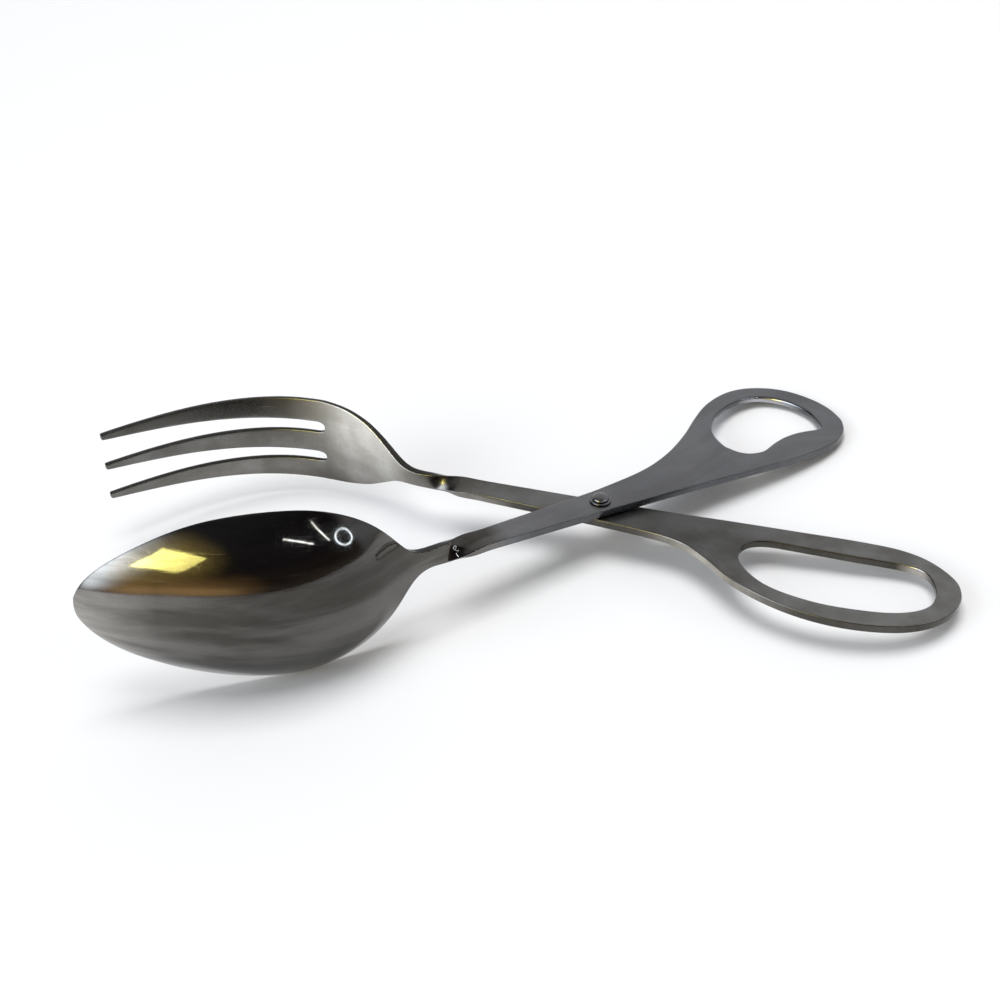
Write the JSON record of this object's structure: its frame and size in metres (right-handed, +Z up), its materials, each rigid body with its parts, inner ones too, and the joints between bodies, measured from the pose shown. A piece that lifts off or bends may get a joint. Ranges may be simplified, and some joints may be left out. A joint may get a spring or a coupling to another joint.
{
  "type": "scissor serving tongs",
  "caption": "Scissor-action salad tongs: a spoon arm and a fork arm stamped from flat steel, crossed at a riveted pivot, with a thumb loop and a longer finger loop.",
  "frame": {"origin": "centre of the bounding box on the table plane, with the tongs lying on the table as they come to rest", "axes": "+X from the spoon and fork heads towards the handle loops, +Y towards the fork head's side, +Z up from the table"},
  "size_m": [0.2408, 0.1238, 0.0561],
  "materials": {
    "polished_steel": "mirror-polished bowl back, satin arm",
    "satin_steel": "satin",
    "rivet_steel": "polished, worn"
  },
  "bodies": {
    "fork_half": {"fork_arm": "satin_steel", "rivet": "rivet_steel", "rivet_washer": "rivet_steel"},
    "spoon_half": {"spoon_arm": "polished_steel"}
  },
  "joints": [
    {"name": "rivet_pivot", "type": "hinge", "parent": "fork_half", "child": "spoon_half", "pos_m": [0.02825, 0.00075, 0.01366], "axis": [0.1251, 0.0775, 0.9891], "range_deg": [-26, 98]}
  ]
}
